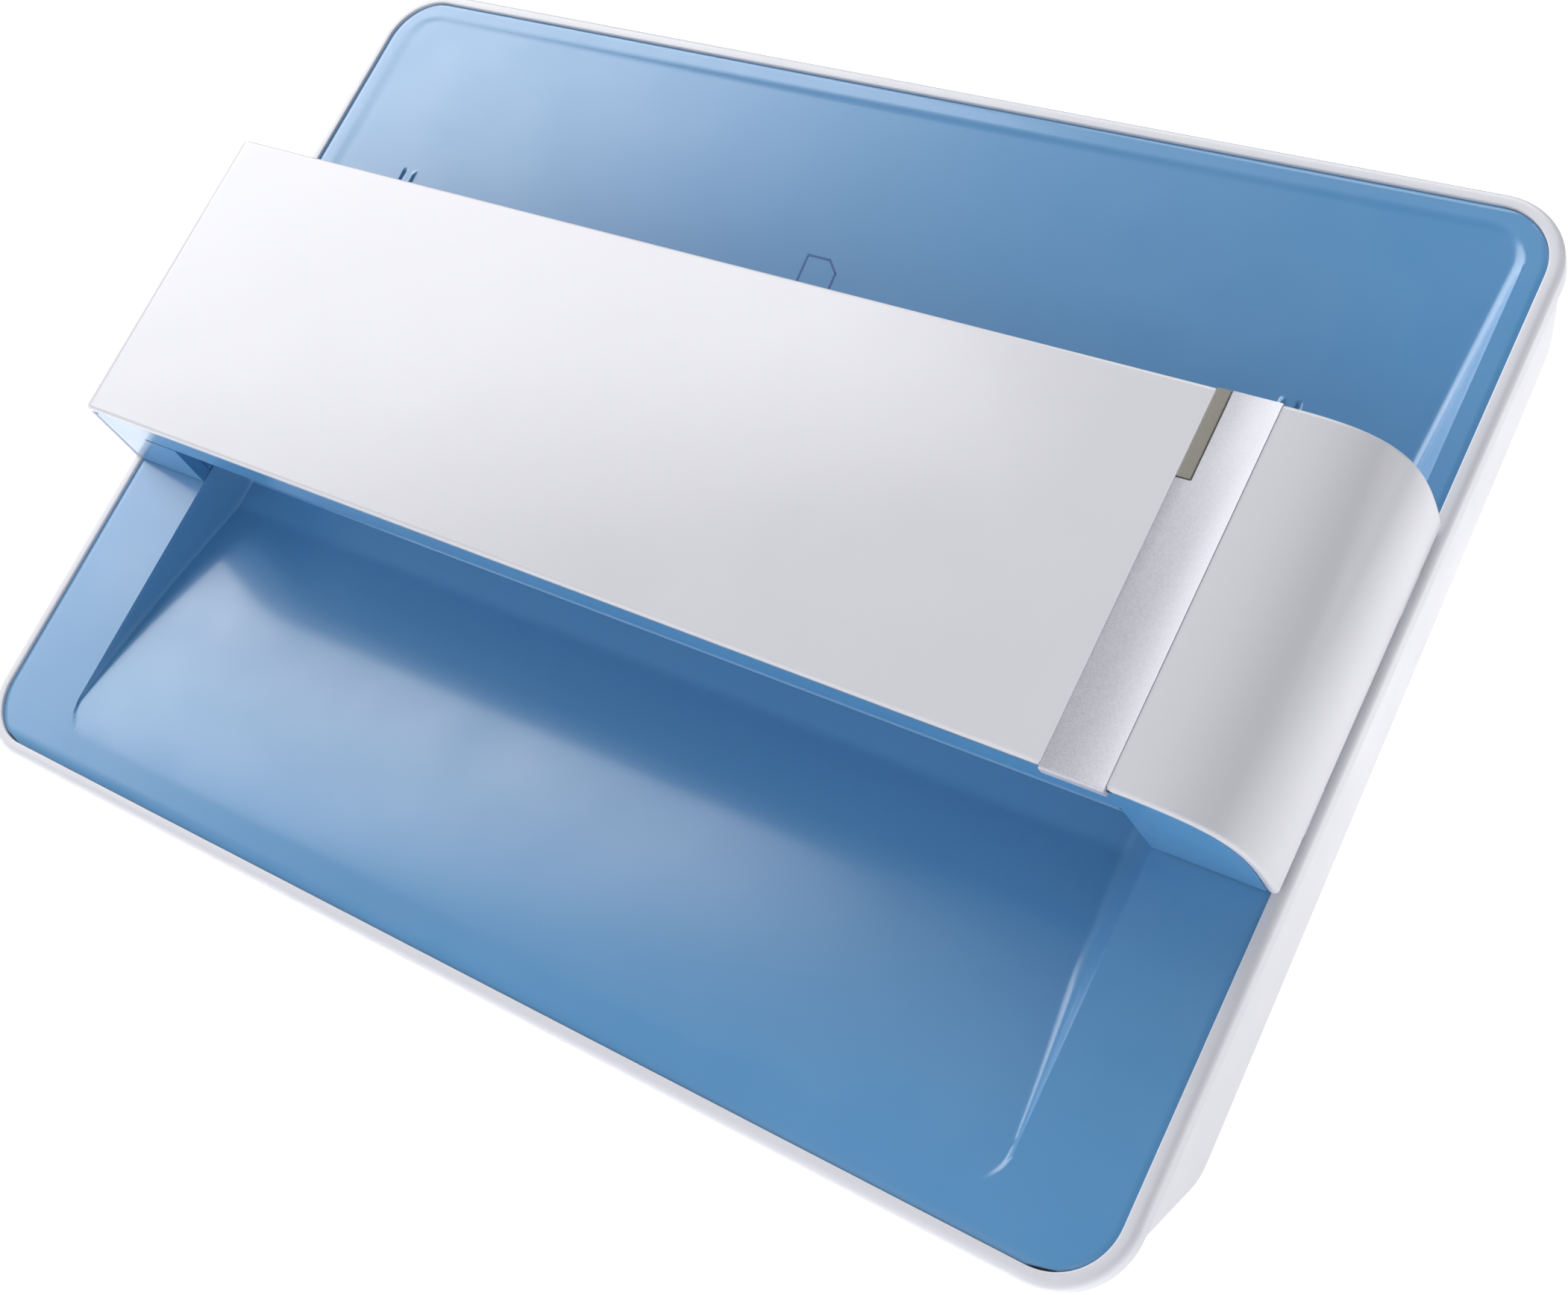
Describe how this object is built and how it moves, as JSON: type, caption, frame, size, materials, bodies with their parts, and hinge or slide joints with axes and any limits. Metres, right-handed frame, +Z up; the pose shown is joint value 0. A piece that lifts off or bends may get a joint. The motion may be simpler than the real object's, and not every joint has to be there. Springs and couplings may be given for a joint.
{
  "type": "sheet-fed photo scanner",
  "caption": "Sheet-fed photo scanner: a tray leaning back on a wedge housing, crossed by a hinged bridge with feed rollers and a scanning window under it.",
  "frame": {"origin": "on the table, midway across the width and midway between the foremost point of the rim and the back of the rear housing", "axes": "+X across the width, towards the end of the bridge that carries the silver strip; +Y towards the back; +Z up"},
  "size_m": [0.289, 0.1604, 0.1585],
  "materials": {
    "shell_white": "satin white moulding",
    "cover_white": "polished white moulding",
    "backing_white": "plain matte white",
    "deck_blue": "satin light blue moulding",
    "strip_silver": "silver-painted, fine sparkle",
    "lens_grey": "translucent grey-green",
    "guide_clear": "clear rod",
    "scan_glass": "polished",
    "board_green": "solder-masked circuit board",
    "optics_black": "matte black moulding",
    "zinc_steel": "zinc-plated pressing",
    "shaft_steel": "ground steel",
    "roller_rubber": "ground grey rubber",
    "belt_rubber": "black belt",
    "acetal_ivory": "ivory acetal"
  },
  "bodies": {
    "base": {"base_shell": "shell_white", "rear_housing": "shell_white", "bottom_cover": "shell_white", "deck_tray": "deck_blue", "light_guide_1": "guide_clear", "light_guide_2": "guide_clear", "scan_glass": "scan_glass", "main_board": "board_green", "sensor_board": "board_green", "optics_box": "optics_black", "dc_socket": "optics_black", "side_plate_left": "zinc_steel", "side_plate_right": "zinc_steel", "feed_motor": "zinc_steel", "usb_socket": "zinc_steel", "catch_magnet": "zinc_steel", "bottom_screw_1": "zinc_steel", "bottom_screw_2": "zinc_steel", "bottom_screw_3": "zinc_steel", "bottom_screw_4": "zinc_steel", "hinge_pin_1": "shaft_steel", "hinge_pin_2": "shaft_steel", "transfer_belt": "belt_rubber", "motor_belt": "belt_rubber", "foot_front_left": "belt_rubber", "foot_front_right": "belt_rubber", "foot_rear_left": "belt_rubber", "foot_rear_right": "belt_rubber", "entry_bushing_left": "acetal_ivory", "entry_bushing_right": "acetal_ivory", "exit_bushing_left": "acetal_ivory", "exit_bushing_right": "acetal_ivory"},
    "cover": {"cover_shell": "cover_white", "cover_frame": "deck_blue", "accent_strip": "strip_silver", "led_lens": "lens_grey", "led_board": "board_green", "backing_plate": "backing_white", "striker_plate": "zinc_steel", "entry_pinch_shaft": "shaft_steel", "exit_pinch_shaft": "shaft_steel"},
    "entry_feed": {"entry_shaft": "shaft_steel", "entry_roller_1": "roller_rubber", "entry_roller_2": "roller_rubber", "entry_roller_3": "roller_rubber", "entry_pulley": "acetal_ivory"},
    "exit_feed": {"exit_shaft": "shaft_steel", "exit_roller_1": "roller_rubber", "exit_roller_2": "roller_rubber", "exit_roller_3": "roller_rubber", "exit_pulley": "acetal_ivory"},
    "motor_rotor": {"motor_shaft": "shaft_steel"},
    "paper_sensor": {"paper_flag": "optics_black"},
    "power_button": {"power_rocker": "optics_black"},
    "entry_pinch_1": {"entry_pinch_roller_1": "acetal_ivory"},
    "entry_pinch_2": {"entry_pinch_roller_2": "acetal_ivory"},
    "entry_pinch_3": {"entry_pinch_roller_3": "acetal_ivory"},
    "exit_pinch_1": {"exit_pinch_roller_1": "acetal_ivory"},
    "exit_pinch_2": {"exit_pinch_roller_2": "acetal_ivory"},
    "exit_pinch_3": {"exit_pinch_roller_3": "acetal_ivory"}
  },
  "joints": [
    {"name": "cover_hinge", "type": "hinge", "parent": "base", "child": "cover", "pos_m": [0.1406, -0.00564, 0.09106], "axis": [0, 0.7071, 0.7071], "range_deg": [0, 60]},
    {"name": "exit_feed_spin", "type": "hinge", "parent": "base", "child": "exit_feed", "pos_m": [0, -0.0072, 0.06603], "axis": [1, 0, 0], "continuous": true},
    {"name": "entry_feed_spin", "type": "hinge", "parent": "base", "child": "entry_feed", "pos_m": [0, 0.01656, 0.08979], "axis": [1, 0, 0], "continuous": true},
    {"name": "motor_spin", "type": "hinge", "parent": "base", "child": "motor_rotor", "pos_m": [0.125, -0.03633, 0.03266], "axis": [1, 0, 0], "continuous": true},
    {"name": "entry_pinch_spin_1", "type": "hinge", "parent": "cover", "child": "entry_pinch_1", "pos_m": [-0.07, 0.00822, 0.09813], "axis": [1, 0, 0], "continuous": true},
    {"name": "entry_pinch_spin_2", "type": "hinge", "parent": "cover", "child": "entry_pinch_2", "pos_m": [0, 0.00822, 0.09813], "axis": [1, 0, 0], "continuous": true},
    {"name": "entry_pinch_spin_3", "type": "hinge", "parent": "cover", "child": "entry_pinch_3", "pos_m": [0.07, 0.00822, 0.09813], "axis": [1, 0, 0], "continuous": true},
    {"name": "exit_pinch_spin_1", "type": "hinge", "parent": "cover", "child": "exit_pinch_1", "pos_m": [-0.07, -0.01554, 0.07437], "axis": [1, 0, 0], "continuous": true},
    {"name": "exit_pinch_spin_2", "type": "hinge", "parent": "cover", "child": "exit_pinch_2", "pos_m": [0, -0.01554, 0.07437], "axis": [1, 0, 0], "continuous": true},
    {"name": "exit_pinch_spin_3", "type": "hinge", "parent": "cover", "child": "exit_pinch_3", "pos_m": [0.07, -0.01554, 0.07437], "axis": [1, 0, 0], "continuous": true},
    {"name": "paper_sensor_swing", "type": "hinge", "parent": "base", "child": "paper_sensor", "pos_m": [0.04, 0.02434, 0.10068], "axis": [1, 0, 0], "range_deg": [0, 65], "stiffness_Nm_per_rad": 0.0005, "springref_deg": -17.19},
    {"name": "power_button_rock", "type": "hinge", "parent": "base", "child": "power_button", "pos_m": [-0.09, 0.07545, 0.022], "axis": [1, 0, 0], "range_deg": [-16, 0]}
  ],
  "couplings": [
    {"joint": "entry_feed_spin", "follows": "exit_feed_spin", "ratio": 1},
    {"joint": "motor_spin", "follows": "exit_feed_spin", "ratio": 1.6107},
    {"joint": "entry_pinch_spin_1", "follows": "exit_feed_spin", "ratio": -1.5556},
    {"joint": "entry_pinch_spin_2", "follows": "exit_feed_spin", "ratio": -1.5556},
    {"joint": "entry_pinch_spin_3", "follows": "exit_feed_spin", "ratio": -1.5556},
    {"joint": "exit_pinch_spin_1", "follows": "exit_feed_spin", "ratio": -1.5556},
    {"joint": "exit_pinch_spin_2", "follows": "exit_feed_spin", "ratio": -1.5556},
    {"joint": "exit_pinch_spin_3", "follows": "exit_feed_spin", "ratio": -1.5556}
  ]
}
